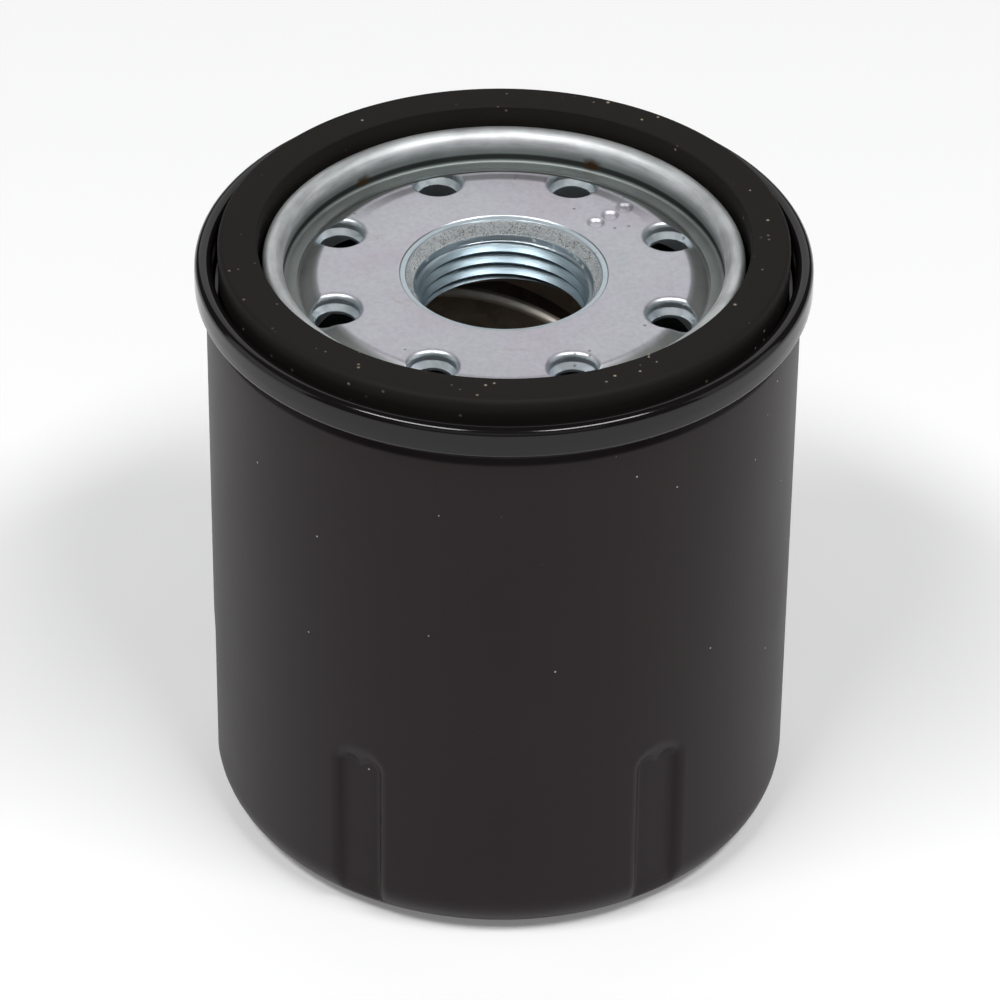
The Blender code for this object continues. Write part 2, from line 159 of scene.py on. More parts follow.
def turned(name, points, steps=turnSteps, closed=True, sheet=None):
    # spin a profile of (r, z) points about the filter's axis
    line = points + [points[0]] if closed else points
    piece = drawLine(name, line)
    bpy.ops.mesh.select_all(action='SELECT')
    bpy.ops.mesh.spin(steps=steps, angle=math.tau, center=(0, 0, 0), axis=(0, 0, 1))
    cleanUp()
    if sheet:
        thicken(piece, sheet)
    smooth(piece)
    return piece


def cutAway(piece, tool, operation='DIFFERENCE'):
    applyModifier(piece, 'BOOLEAN', object=tool, operation=operation, solver='EXACT')
    bpy.data.objects.remove(tool, do_unlink=True)


def capEnds():
    # in edit mode: merge the turns of a wound strip, then close its two open ends
    bpy.ops.mesh.select_all(action='SELECT')
    bpy.ops.mesh.remove_doubles(threshold=fineMerge)
    bpy.ops.mesh.select_all(action='DESELECT')
    bpy.ops.mesh.select_non_manifold(extend=False)
    bpy.ops.mesh.fill_holes(sides=0)


def settle(piece, body, node):
    # hand a finished piece to the frame, in the place of its CAD node
    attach(piece, body)
    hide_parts(node)
    return piece


class Wire:
    # a socket that adds Math nodes when sums are written with it
    def __init__(self, graph, socket):
        self.graph = graph
        self.socket = socket

    def sum(self, operation, first, second):
        return self.graph.math(operation, first, second)

    def __add__(self, other):
        return self.sum('ADD', self, other)

    __radd__ = __add__

    def __mul__(self, other):
        return self.sum('MULTIPLY', self, other)

    __rmul__ = __mul__

    def __sub__(self, other):
        return self.sum('SUBTRACT', self, other)

    def __rsub__(self, other):
        return self.sum('SUBTRACT', other, self)

    def __truediv__(self, other):
        return self.sum('DIVIDE', self, other)

    def __lt__(self, other):
        return self.sum('LESS_THAN', self, other)


class Finish:
    # one material's nodes
    def __init__(self, name):
        self.material = bpy.data.materials.new(name)
        self.material.use_nodes = True
        self.tree = self.material.node_tree
        self.shader = self.tree.nodes["Principled BSDF"]
        self.place = self.node('ShaderNodeTexCoord')["Object"]
        parts = self.node('ShaderNodeSeparateXYZ', values={"Vector": self.place})
        self.x, self.y, self.z = parts["X"], parts["Y"], parts["Z"]
        self.radius = self.math('SQRT', self.x * self.x + self.y * self.y, 0)

    def node(self, kind, settings=None, values=None):
        made = self.tree.nodes.new(kind)
        for key, value in (settings or {}).items():
            setattr(made, key, value)
        for key, value in (values or {}).items():
            socket = made.inputs[key]
            if isinstance(value, Wire):
                self.tree.links.new(value.socket, socket)
            else:
                socket.default_value = value
        outs = {}
        for socket in made.outputs:
            if socket.enabled and socket.name not in outs:
                outs[socket.name] = Wire(self, socket)
        return outs

    def math(self, operation, first, second):
        return self.node('ShaderNodeMath', {"operation": operation}, {0: first, 1: second})["Value"]

    def between(self, value, low, high):
        # 0 below low, 1 above high, smooth between
        return self.node('ShaderNodeMapRange', {"interpolation_type": 'SMOOTHSTEP'},
                         {"Value": value, "From Min": low, "From Max": high})["Result"]

    def band(self, value, low, high, soft):
        return self.between(value, low - soft, low) * (1 - self.between(value, high, high + soft))

    def noise(self, scale, detail=4.0, rough=0.5, where=None, distortion=0.0):
        values = {"Vector": where or self.place, "Scale": scale, "Detail": detail,
                  "Roughness": rough, "Distortion": distortion}
        return self.node('ShaderNodeTexNoise', None, values)["Fac"]

    def stretch(self, x, y, z):
        values = {"Vector": self.place, "Scale": (x, y, z)}
        return self.node('ShaderNodeMapping', None, values)["Vector"]

    def ringed(self, around, along, outward=0.0):
        # coordinates that run round the axis without a seam, for rolling and turning marks
        return self.node('ShaderNodeCombineXYZ', None,
                         {"X": self.x / self.radius * around, "Y": self.y / self.radius * around,
                          "Z": self.z * along + self.radius * outward})["Vector"]

    def specks(self, scale, share, size):
        # small round flecks in a share of the cells
        cells = self.node('ShaderNodeTexVoronoi', {"feature": 'F1'},
                          {"Vector": self.place, "Scale": scale})
        picked = self.node('ShaderNodeSeparateColor', None, {"Color": cells["Color"]})["Red"] < share
        return picked * (1 - self.between(cells["Distance"], size * 0.5, size))

    def shade(self, value):
        # a colour as a socket or as four numbers
        return value if isinstance(value, Wire) else (*value, 1.0)

    def mix(self, factor, first, second):
        # 0, 6 and 7 are the factor and the two colours
        values = {0: factor, 6: self.shade(first), 7: self.shade(second)}
        return self.node('ShaderNodeMix', {"data_type": 'RGBA'}, values)["Result"]

    def capped(self, value, most=1.0):
        return self.math('MINIMUM', value, most)

    def bump(self, height, strength, distance, under=None):
        values = {"Height": height, "Strength": strength, "Distance": distance * mm}
        if under:
            values["Normal"] = under
        return self.node('ShaderNodeBump', None, values)["Normal"]

    def surface(self, **values):
        names = {"colour": "Base Color", "roughness": "Roughness", "metallic": "Metallic",
                 "normal": "Normal", "specular": "Specular IOR Level", "glow": "Emission Color",
                 "glowStrength": "Emission Strength"}
        for key, value in values.items():
            socket = self.shader.inputs[names[key]]
            if isinstance(value, Wire):
                self.tree.links.new(value.socket, socket)
            else:
                socket.default_value = value
        return self.material


def wear(piece, finish):
    piece.data.materials.clear()
    piece.data.materials.append(finish)
    return piece


def satinBlackPaint():
    f = Finish("satinBlackPaint")
    peel = f.noise(1500, 3, 0.6)
    grain = f.noise(6500, 2, 0.7)
    cloud = f.noise(55, 4, 0.55)
    dust = f.specks(330, 0.035, 0.05) + f.specks(900, 0.014, 0.13) + f.specks(180, 0.02, 0.035)
    colour = f.mix(cloud, (0.0105, 0.0066, 0.0074), (0.0150, 0.0100, 0.0110))
    colour = f.mix(f.capped(dust), colour, (0.42, 0.40, 0.38))
    normal = f.bump(peel, 0.22, 0.05)
    normal = f.bump(grain, 0.25, 0.012, normal)
    return f.surface(colour=colour, roughness=0.38 + cloud * 0.10, normal=normal, specular=0.18)


def lidFinish():
    # bright zinc inside, black paint from the gasket groove outwards
    f = Finish("lidFinish")
    painted = f.between(f.radius + f.noise(900, 2) * 0.0002, 26.85 * mm, 27.1 * mm)
    cloud = f.noise(140, 5, 0.6)
    fine = f.noise(1600, 4, 0.65)
    rolled = f.noise(1.0, 3, 0.6, f.ringed(3.0, 2600, 2600))
    streak = f.noise(1.0, 4, 0.6, f.ringed(4.0, 1300, 1300))
    zinc = f.mix(f.between(cloud * 0.5 + streak * 0.5, 0.34, 0.66), (0.54, 0.56, 0.56), (0.80, 0.82, 0.82))
    inside = 1 - f.between(f.radius, 24.95 * mm, 25.2 * mm)
    # painted shade: inside the bead, the lower wall and the flange are darkened towards the floor of the dish
    low = inside * (1 - f.between(f.z, 68.8 * mm, 70.0 * mm))
    # painted shade: a dark line in the corner where the bead's inner wall meets the floor
    corner = f.band(f.z, 67.95 * mm, 68.35 * mm, 0.35 * mm) * inside
    corner = corner * f.between(f.radius, 23.7 * mm, 24.1 * mm)
    zinc = f.mix(low * 0.75, zinc, (0.19, 0.22, 0.21))
    zinc = f.mix(corner * 0.9, zinc, (0.022, 0.026, 0.024))
    burn = 0.0
    for angle in weldAngles:
        x = weldRadius * math.cos(math.radians(angle)) * mm
        y = weldRadius * math.sin(math.radians(angle)) * mm
        rise = f.z - 68.4 * mm
        gap = f.math('SQRT', (f.x - x) * (f.x - x) * 0.4 + (f.y - y) * (f.y - y) + rise * rise, 0)
        gap = gap + (f.noise(900, 3) - 0.5) * (1.0 * mm)
        burn = burn + (1 - f.between(gap, 0.2 * mm, 1.1 * mm))
    burn = f.capped(burn)
    zinc = f.mix(burn, zinc, (0.085, 0.045, 0.018))
    paint = f.mix(cloud, (0.0045, 0.0036, 0.0040), (0.0075, 0.0062, 0.0066))
    colour = f.mix(painted, zinc, paint)
    shine = 0.46 + cloud * 0.16 + fine * 0.10 + burn * 0.2
    shine = shine * (1 - painted) + painted * (0.09 + cloud * 0.04)
    normal = f.bump(fine, 0.05 + (1 - painted) * 0.2, 0.02)
    normal = f.bump(rolled, 0.04 + (1 - painted) * 0.2, 0.012, normal)
    return f.surface(colour=colour, roughness=shine, metallic=1 - painted, normal=normal, specular=0.34)


def nitrileRubber():
    f = Finish("nitrileRubber")
    fine = f.noise(2600, 4, 0.65)
    patch = f.noise(90, 4, 0.6)
    patchy = f.between(f.noise(130, 3), 0.42, 0.62)
    flecks = f.specks(1100, 0.13, 0.24) * patchy + f.specks(520, 0.10, 0.15) * patchy
    dust = flecks + f.specks(260, 0.06, 0.075)
    colour = f.mix(patch, (0.0045, 0.0034, 0.0028), (0.0085, 0.0068, 0.0056))
    colour = f.mix(f.capped(dust) * 0.7, colour, (0.40, 0.34, 0.25))
    normal = f.bump(fine, 0.35, 0.02)
    return f.surface(colour=colour, roughness=0.62 + patch * 0.16, normal=normal, specular=0.24)


def neckDepth(depth):
    # height of a point this far below the plate's top face, in metres
    return (boxOf("base_plate")[1].z - depth) * mm


def zincPlating():
    f = Finish("zincPlating")
    cloud = f.noise(120, 5, 0.6, None, 0.6)
    tint = f.noise(70, 3, 0.5)
    grain = f.noise(1500, 4, 0.75)
    fine = f.noise(3200, 3, 0.7)
    brushed = f.noise(260, 4, 0.7, f.stretch(0.5, 7.0, 1))
    stain = f.between(f.noise(210, 4, 0.7, None, 1.2), 0.60, 0.74)
    pits = f.specks(650, 0.10, 0.16) + f.specks(300, 0.06, 0.07)
    lathe = f.noise(1.0, 4, 0.7, f.ringed(4.0, 5200))
    neck = 1 - f.between(f.radius, 11.5 * mm, 11.62 * mm)
    flare = f.band(f.radius, 9.95 * mm, 10.8 * mm, 0.08 * mm)
    flare = flare * f.between(f.z, neckDepth(1.75), neckDepth(1.45))
    sparkle = f.noise(5200, 3, 0.85)
    clump = f.between(f.noise(900, 3, 0.6), 0.38, 0.62)
    # painted glints: bright white, less metallic flecks on burr chips in the band under the flare
    chipGlints = f.band(f.z, neckDepth(2.35), neckDepth(1.75), 0.1 * mm) * f.specks(1500, 0.30, 0.5) * neck
    body = f.mix(cloud, (0.60, 0.60, 0.66), (0.78, 0.77, 0.83))
    body = f.mix(f.between(tint, 0.48, 0.68) * 0.5, body, (0.66, 0.59, 0.67))
    body = f.mix(f.between(tint, 0.42, 0.28) * 0.45, body, (0.55, 0.64, 0.61))
    body = f.mix(f.between(grain, 0.35, 0.7) * 0.35, body, (0.48, 0.47, 0.50))
    body = f.mix(stain * 0.35, body, (0.50, 0.45, 0.36))
    around = f.math('ARCTAN2', f.y, f.x)
    swing = math.pi / plateLook["holes"] - f.math('PINGPONG', around, math.pi / plateLook["holes"])
    along = f.radius * f.math('COSINE', swing, 0) - plateLook["holeCircle"] * mm
    across = f.radius * f.math('SINE', swing, 0)
    gap = f.math('SQRT', along * along + across * across, 0)
    # hole walls: bare punched metal, and also painted lighter and bluer as a painted reflection
    punchedAndSheen = 1 - f.between(gap, 2.75 * mm, 3.1 * mm)
    # painted shade: a dark band round the hole circle on the back half of the plate only, standing in for a
    # dark reflection; its strength varies with stain and tint
    paintedBackShade = f.between(f.y, 9.0 * mm, 17.0 * mm) * (0.5 + stain * 0.3 + tint * 0.4)
    edge = f.band(f.radius, 19.35 * mm, 19.95 * mm, 0.6 * mm) * (1 - punchedAndSheen) * paintedBackShade
    # painted shade: the dish shoulder and the flange beyond it are darkened
    outer = f.between(f.radius, 20.5 * mm, 21.4 * mm)
    body = f.mix(outer * 0.8, body, f.mix(cloud, (0.13, 0.15, 0.14), (0.34, 0.36, 0.32)))
    body = f.mix(f.capped(edge, 0.85), body, (0.13, 0.13, 0.14))
    body = f.mix(punchedAndSheen * 0.8, body, f.mix(grain, (0.50, 0.56, 0.60), (0.80, 0.86, 0.88)))
    threaded = 1 - f.between(f.z, neckDepth(2.75), neckDepth(2.5))
    steel = f.mix(lathe, (0.42, 0.50, 0.55), (0.66, 0.73, 0.77))
    steel = f.mix(threaded, steel, f.mix(lathe, (0.17, 0.24, 0.28), (0.44, 0.53, 0.58)))
    steel = f.mix(flare * 0.8, steel, (0.84, 0.86, 0.86))
    steel = f.mix(f.between(sparkle, 0.49, 0.57) * flare * (0.35 + clump * 0.5), steel, (0.10, 0.11, 0.11))
    steel = f.mix(f.capped(chipGlints) * 0.8, steel, (0.90, 0.93, 0.94))
    colour = f.mix(neck, body, steel)
    colour = f.mix(f.capped(pits) * 0.7, colour, (0.13, 0.12, 0.12))
    shine = 0.36 + cloud * 0.10 + brushed * 0.10 + punchedAndSheen * -0.08
    shine = shine * (1 - neck) + neck * (0.24 + threaded * 0.10 + lathe * 0.14)
    normal = f.bump(brushed, 0.14, 0.03)
    normal = f.bump(grain, 0.30, 0.02, normal)
    normal = f.bump(fine, 0.20, 0.012, normal)
    normal = f.bump(lathe, neck * 0.6, 0.05, normal)
    normal = f.bump(sparkle, flare, 0.40, normal)
    frosted = flare * 0.65 + f.capped(chipGlints) * 0.6
    metal = 1 - f.capped(frosted, 0.9)
    return f.surface(colour=colour, roughness=shine, metallic=metal, normal=normal)


def plainMetal(name, dark, light, rough):
    f = Finish(name)
    cloud = f.noise(160, 4, 0.6)
    drawn = f.noise(1.0, 3, 0.6, f.ringed(3.0, 900, 900))
    fine = f.noise(2400, 3, 0.6)
    colour = f.mix(cloud * 0.6 + drawn * 0.4, dark, light)
    normal = f.bump(drawn, 0.14, 0.03)
    normal = f.bump(fine, 0.14, 0.015, normal)
    return f.surface(colour=colour, roughness=rough + cloud * 0.12, metallic=1.0, normal=normal)


def tubeSteel():
    f = Finish("tubeSteel")
    cloud = f.noise(190, 5, 0.6)
    drawn = f.noise(1.0, 4, 0.65, f.ringed(5.0, 1500))
    stain = f.noise(420, 4, 0.6)
    colour = f.mix(drawn, (0.42, 0.36, 0.30), (0.70, 0.63, 0.55))
    colour = f.mix(f.between(stain, 0.5, 0.75) * 0.5, colour, (0.20, 0.16, 0.12))
    turn = f.math('ARCTAN2', f.y, f.x) * (1 / math.tau)
    climb = f.math('FRACT', (f.z - tubeLook["seamAt"] * mm) / (tubeLook["lead"] * mm) - turn + 1.25, 0)
    # painted shade: a dark band up the seam's recess
    fold = f.band(climb, 1.0 / tubeLook["lead"], 3.3 / tubeLook["lead"], 0.3 / tubeLook["lead"])
    colour = f.mix(fold * 0.8, colour, (0.05, 0.04, 0.035))
    # painted highlight: a pale band along the seam's lower shoulder
    crest = f.band(climb, 0.1 / tubeLook["lead"], 0.8 / tubeLook["lead"], 0.25 / tubeLook["lead"])
    colour = f.mix(crest * 0.8, colour, (0.92, 0.85, 0.76))
    normal = f.bump(drawn, 0.2, 0.03)
    return f.surface(colour=colour, roughness=0.36 + cloud * 0.18, metallic=1.0, normal=normal)


def softMatter(name, dark, light, rough, grain, bumpSize, fibre=None):
    f = Finish(name)
    cloud = f.noise(150, 4, 0.6)
    fine = f.noise(grain, 4, 0.65, f.stretch(*fibre) if fibre else None)
    colour = f.mix(cloud * 0.5 + fine * 0.5, dark, light)
    return f.surface(colour=colour, roughness=rough + cloud * 0.1, normal=f.bump(fine, 0.4, bumpSize))


caseLook = dict(sheet=0.42, wallRadius=33.0, corner=5.2, hook=33.65, hookTip=68.15,
                turnTop=70.38, footRecess=0.8, recessRadius=20.0, rowGap=0.8, fineTop=30.0,
                neckTop=67.0, neckIn=0.52, neckFoot=65.6)
fluteLook = dict(angles=(-118.4, -56.8, 2.9, 62.6, 122.2, 181.9), halfWidth=3.65, spring=21.0, depth=0.95,
                 sideFlank=1.75, topFlank=4.2, step=0.28, cuts=3)


def fluteGap(place):
    # degrees from a point to the middle of the nearest flute
    angle = math.degrees(math.atan2(place.y, place.x))
    return min(abs((angle - middle + 180) % 360 - 180) for middle in fluteLook["angles"])


def eased(share):
    share = min(1.0, max(0.0, share))
    return share * share * (3 - 2 * share)


def fluteWeight(place):
    # share of the full depth at a point on the wall, 0 outside the flutes
    look = fluteLook
    radius = math.hypot(place.x, place.y) / mm
    height = place.z / mm
    floor = caseLook["wallRadius"] - caseLook["sheet"] / 2 - look["depth"]
    if radius < floor or height > look["spring"] + look["halfWidth"]:
        return 0.0
    side = math.radians(fluteGap(place)) * caseLook["wallRadius"]
    rise = max(0.0, height - look["spring"])
    inside = look["halfWidth"] - math.hypot(side, rise)
    if inside <= 0:
        return 0.0
    up = rise / max(math.hypot(side, rise), 0.001)
    share = inside / (look["sideFlank"] + (look["topFlank"] - look["sideFlank"]) * up * up)
    steep = 0.45 * max(0.0, 1 - 1.8 * up)
    share = eased(share) * (1 - steep) + eased((share - 0.5) / look["step"] + 0.5) * steep
    return share * min(1.0, (radius - floor) / look["depth"])


def makeCase():
    look = caseLook
    half = look["sheet"] / 2
    wall = look["wallRadius"] - half
    turn = (look["hook"] - wall) / 2
    hookLine = [(look["hook"], look["hookTip"], 0), (look["hook"], look["turnTop"], turn),
                (wall, look["turnTop"], turn), (wall, look["turnTop"] - 2 * turn, 0)]
    points = roundedLine(hookLine)
    neckLine = [(wall, points[-1].y, 0), (wall, look["neckTop"], 0.4),
                (wall - look["neckIn"], look["neckTop"] - 0.6, 0.35), (wall, look["neckFoot"], 0.5),
                (wall, look["neckFoot"] - 3, 0)]
    points += roundedLine(neckLine, 8)[1:]
    points += fineLine((wall, points[-1].y), (wall, look["fineTop"]), 13)
    points += fineLine((wall, look["fineTop"]), (wall, look["corner"]), look["rowGap"])
    cornerRadius = look["corner"] - half
    cornerLine = [(wall, look["corner"] + 1, 0), (wall, half, cornerRadius), (22.0, half, 0)]
    points += roundedLine(cornerLine, 7.5)[2:-1]
    recess = [(24.0, half, 0), (look["recessRadius"] + 1.1, half, 1.2),
              (look["recessRadius"], half + look["footRecess"], 1.2), (9.0, half + look["footRecess"], 0)]
    points += roundedLine(recess)
    points.append(Vector((0.0, half + look["footRecess"])))
    case = drawLine("filterCase", points)
    bpy.ops.mesh.select_all(action='SELECT')
    bpy.ops.mesh.spin(steps=turnSteps, angle=math.tau, center=(0, 0, 0), axis=(0, 0, 1))
    cleanUp()

    # an open shell can come out facing in, so the wall is looked at first
    makeActive(case)
    bpy.ops.object.mode_set(mode='EDIT')
    if any(face.normal.dot(face.center) < 0 for face in case.data.polygons
           if 0.03 < face.center.z < 0.06):
        bpy.ops.mesh.flip_normals()

    # finer faces where the flutes are pressed in
    bpy.ops.mesh.select_all(action='DESELECT')
    bpy.ops.object.mode_set(mode='OBJECT')
    reach = math.degrees((fluteLook["halfWidth"] + 0.5) / look["wallRadius"])
    for face in case.data.polygons:
        centre = face.center
        near = fluteGap(centre) < reach
        low = centre.z < (fluteLook["spring"] + fluteLook["halfWidth"] + 0.7) * mm
        face.select = near and low and centre.xy.length > 31.0 * mm
    bpy.ops.object.mode_set(mode='EDIT')
    bpy.ops.mesh.subdivide(number_cuts=fluteLook["cuts"])
    bpy.ops.object.mode_set(mode='OBJECT')

    # the flutes: weights painted by place, then pushed in along the normals
    flutes = case.vertex_groups.new(name="flutes")
    for vertex in case.data.vertices:
        weight = fluteWeight(vertex.co)
        if weight > 0:
            flutes.add([vertex.index], weight, 'REPLACE')
    applyModifier(case, 'DISPLACE', strength=-fluteLook["depth"] * mm, mid_level=0.0,
                  vertex_group="flutes", direction='NORMAL')
    case.vertex_groups.clear()
    thicken(case, look["sheet"])
    smooth(case, 40)
    wear(case, satinBlackPaint())
    return settle(case, "housing", "case")


lidLook = dict(sheet=0.32, flange=22.95, floorTop=67.46, bend=0.45, beadInner=24.61, beadOuter=26.54,
               beadInnerRound=1.25, beadOuterRound=0.66, crest=71.15, chuckWall=32.36, top=71.0, foot=67.4,
               hook=33.22, hookTip=69.75)
weldRadius = 24.2
weldAngles = (131.0, 66.5)


def makeLid():
    look = lidLook
    half = look["sheet"] / 2
    rim = boxOf("seaming_lid")[1].x - half
    floor = look["floorTop"] - half
    crest = look["crest"] - half
    top = look["top"] - half
    roll = (rim - look["chuckWall"]) / 2
    hem = (rim - look["hook"]) / 2
    foot = look["foot"] + half
    corners = [(look["flange"], floor, 0), (look["beadInner"], floor, look["bend"]),
               (look["beadInner"], crest, look["beadInnerRound"]),
               (look["beadOuter"], crest, look["beadOuterRound"]),
               (look["beadOuter"], floor, look["bend"]), (look["chuckWall"], floor, look["bend"]),
               (look["chuckWall"], top, roll), (rim - 0.07, top, roll - 0.06), (rim, 68.8, 2.5),
               (rim - 0.03, foot, hem - 0.03), (look["hook"], foot, hem - 0.03),
               (look["hook"], look["hookTip"], 0)]
    lid = turned("seamedLid", roundedLine(corners, 9), closed=False, sheet=look["sheet"])
    wear(lid, lidFinish())
    return settle(lid, "housing", "seaming_lid")


gasketLook = dict(inner=27.25, topEdge=0.65, innerEdge=0.22, footEdge=0.25)


def makeGasket():
    low, high = boxOf("gasket")
    look = gasketLook
    inner = look["inner"]
    corners = [(29.5, high.z, 0), (high.x, high.z, look["topEdge"]), (high.x, low.z, look["footEdge"]),
               (inner, low.z, look["footEdge"]), (inner, high.z, look["innerEdge"]), (29.4, high.z, 0)]
    gasket = turned("sealingGasket", roundedLine(corners))
    wear(gasket, nitrileRubber())
    return settle(gasket, "housing", "gasket")


plateLook = dict(thickness=2.2, dish=20.6, dishFoot=22.75, neck=11.9, pitch=1.5, major=9.88, minor=9.19,
                 dishDrop=1.42, tapCore=0.04, holes=8, holeCircle=19.92, holeRadius=2.25, holeMouth=2.72,
                 holeEntry=0.62, holePhase=22.5, pipRadii=(14.5, 16.8, 19.1), pipAngle=45.0)
# the threaded neck's mouth from the inside out: radius, depth below the top face, rounding
neckSteps = ((9.3, 2.65, 0.06), (9.85, 2.3, 0.12), (10.0, 1.6, 0.2), (10.75, 0.5, 0.15), (10.95, 0.17, 0.1),
             (11.48, 0.12, 0.05), (11.62, 0.0, 0.06))


def makeTap():
    look = plateLook
    core = look["minor"] - look["tapCore"]
    root = look["pitch"] / 18
    half = look["pitch"] / 2
    profile = [Vector((core, -half)), Vector((look["major"] - 0.05, -root - 0.05)),
               Vector((look["major"], -root * 0.4)), Vector((look["major"], root * 0.4)),
               Vector((look["major"] - 0.05, root + 0.05)), Vector((core, half))]
    tap = drawLine("threadTap", profile)
    bpy.ops.object.mode_set(mode='OBJECT')
    applyModifier(tap, 'SCREW', steps=120, render_steps=120, screw_offset=look["pitch"] * mm,
                  iterations=8, use_merge_vertices=False)
    bpy.ops.object.mode_set(mode='EDIT')
    capEnds()
    cleanUp()
    tap.location.z = (boxOf("base_plate")[0].z - 1.1 * look["pitch"]) * mm
    return tap


def makeHoleTool(top):
    look = plateLook
    wall = [(look["holeMouth"] + 2, top, 0), (look["holeMouth"], top, look["holeEntry"]),
            (look["holeMouth"], top - 1.15, 0.15), (look["holeRadius"], top - 1.85, 0.15),
            (look["holeRadius"], top - 5, 0), (0.0, top - 5, 0)]
    points = [Vector((0.0, top + 0.6)), Vector((look["holeMouth"] + 1.4, top + 0.6))] + roundedLine(wall)[1:]
    return turned("holeTool", points, 72, closed=False)


def makePipTool(top):
    bowl = [(2.0, top, 0), (1.05, top, 0.4), (0.6, top - 0.36, 0.3), (0, top - 0.36, 0)]
    points = [Vector((0.0, top + 0.6)), Vector((2.4, top + 0.6))] + roundedLine(bowl, 12)[1:]
    return turned("pipTool", points, 48, closed=False)


def atAngle(radius, degrees):
    # a place round the axis, in metres
    angle = math.radians(degrees)
    return radius * math.cos(angle) * mm, radius * math.sin(angle) * mm, 0


def makePlate():
    look = plateLook
    low, high = boxOf("base_plate")
    top = high.z
    flangeTop = top - look["dishDrop"]
    under = top - look["thickness"]
    flangeUnder = flangeTop - look["thickness"]
    foot = low.z
    corners = [(15.0, top, 0), (look["dish"], top, 0.9), (look["dishFoot"], flangeTop, 0.6),
               (high.x, flangeTop, 0.3), (high.x, flangeUnder, 0.3),
               (look["dishFoot"] - 0.6, flangeUnder, 0.8), (look["dish"] - 0.8, under, 0.8),
               (look["neck"], under, 1.2), (look["neck"], foot, 0.3),
               (look["minor"] + 0.35, foot, 0.0), (look["minor"], foot + 0.35, 0.0),
               (look["minor"], top - 2.75, 0.0)]
    corners += [(radius, top - depth, bend) for radius, depth, bend in neckSteps]
    corners.append((14.0, top, 0))
    plate = turned("zincBasePlate", roundedLine(corners), 240)
    cutAway(plate, makeTap())
    for index in range(look["holes"]):
        tool = makeHoleTool(top)
        tool.location = atAngle(look["holeCircle"], look["holePhase"] + 360 * index / look["holes"])
        cutAway(plate, tool)
    for radius in look["pipRadii"]:
        tool = makePipTool(top)
        tool.location = atAngle(radius, look["pipAngle"])
        cutAway(plate, tool)
    smooth(plate, 28)
    wear(plate, zincPlating())
    return settle(plate, "housing", "base_plate")


tubeLook = dict(lead=30.0, seam=3.5, inner=13.7, seamDepth=0.7, sheet=0.28, seamAt=54.7, shoulder=0.9)


def makeTube():
    low, high = boxOf("centre_tube")
    look = tubeLook
    inner = look["inner"] + look["sheet"] / 2
    deep = inner + look["seamDepth"]
    seam, lead = look["seam"], look["lead"]
    corners = [(inner, 0, 0), (inner, 0.35, look["shoulder"]), (deep, 1.15, 0.3),
               (deep, seam - 0.25, 0.12), (inner, seam, 0.12), (inner, seam + 0.4, 0), (inner, lead, 0)]
    line = roundedLine(corners, 15)
    tube = drawLine("spiralTube", line)
    bpy.ops.object.mode_set(mode='OBJECT')
    applyModifier(tube, 'SCREW', steps=144, render_steps=144, screw_offset=lead * mm, iterations=5,
                  use_merge_vertices=False)
    # the seam's lower shoulder crosses the +Y side at seamAt
    tube.location.z = (look["seamAt"] - 3.25 * lead) * mm
    makeActive(tube)
    bpy.ops.object.transform_apply(location=True, rotation=False, scale=False)
    bpy.ops.object.mode_set(mode='EDIT')
    bpy.ops.mesh.select_all(action='SELECT')
    bpy.ops.mesh.remove_doubles(threshold=fineMerge)
    for height, upper in ((high.z, True), (low.z, False)):
        bpy.ops.mesh.select_all(action='SELECT')
        bpy.ops.mesh.bisect(plane_co=(0, 0, height * mm), plane_no=(0, 0, 1),
                            clear_outer=upper, clear_inner=not upper)
    cleanUp()
    thicken(tube, look["sheet"])
    smooth(tube)
    wear(tube, tubeSteel())
    return settle(tube, "element", "centre_tube")


def ringPiece(name, corners, finish, body, node, steps=144, sheet=None):
    # an inner piece turned from one outline
    points = roundedLine(corners, 15)
    piece = turned(name, points, steps, closed=sheet is None, sheet=sheet)
    wear(piece, finish)
    return settle(piece, body, node)


capLook = dict(sheet=0.4, rim=28.4, rimHeight=3.3, topZ=60.5, footZ=7.6, neck=12.4, neckDepth=1.3, drain=7.1,
               drainFlat=13.4, drainStep=14.2, beadInner=16.0, beadOuter=26.0, beadDepth=0.35, dishDepth=0.3,
               bend=0.5)


def makeCaps(finish):
    look = capLook
    rim, top, foot, bend = look["rim"], look["topZ"], look["footZ"], look["bend"]
    inner, outer, dent = look["beadInner"], look["beadOuter"], look["beadDepth"]
    corners = [(look["neck"], top - look["neckDepth"], 0), (look["neck"], top, 0.4), (inner, top, bend),
               (inner + 1, top - dent, bend), (outer - 1, top - dent, bend), (outer, top, bend),
               (rim, top, 0.6), (rim, top - look["rimHeight"], 0)]
    ringPiece("elementTopCap", corners, finish, "element", "element_top_cap", sheet=look["sheet"])
    lift = look["dishDepth"]
    corners = [(look["drain"], foot, 0), (look["drainFlat"], foot, bend),
               (look["drainStep"], foot + lift, bend),
               (outer - 1, foot + lift, bend), (outer, foot, bend), (rim, foot, 0.6),
               (rim, foot + look["rimHeight"], 0)]
    ringPiece("elementBottomCap", corners, finish, "element", "element_bottom_cap",
              sheet=look["sheet"])


pottingLook = dict(inner=14.8, outer=28.0, dipInner=17.0, dipOuter=26.0, edge=0.3, dipEdge=1.0)


def makePotting(name, node, finish, upper):
    # resin lies flat in its cap and dips a little where the paper stands in it
    look = pottingLook
    low, high = boxOf(node)
    near, far = (low.z, high.z) if upper else (high.z, low.z)
    inner, outer, edge = look["inner"], look["outer"], look["edge"]
    middle = (low.z + high.z) / 2
    dip = near + (middle - near) * 0.5
    corners = [(inner, middle, 0), (inner, far, edge), (outer, far, edge), (outer, near, edge),
               (look["dipOuter"], dip, look["dipEdge"]), (look["dipInner"], dip, look["dipEdge"]),
               (inner, near, edge), (inner, middle, 0)]
    ringPiece(name, corners, finish, "element", node)


paperLook = dict(pleats=36, inner=16.2, outer=27.5, fold=0.8, sheet=0.5, endGap=0.42, endIn=0.2, turn=0.37)


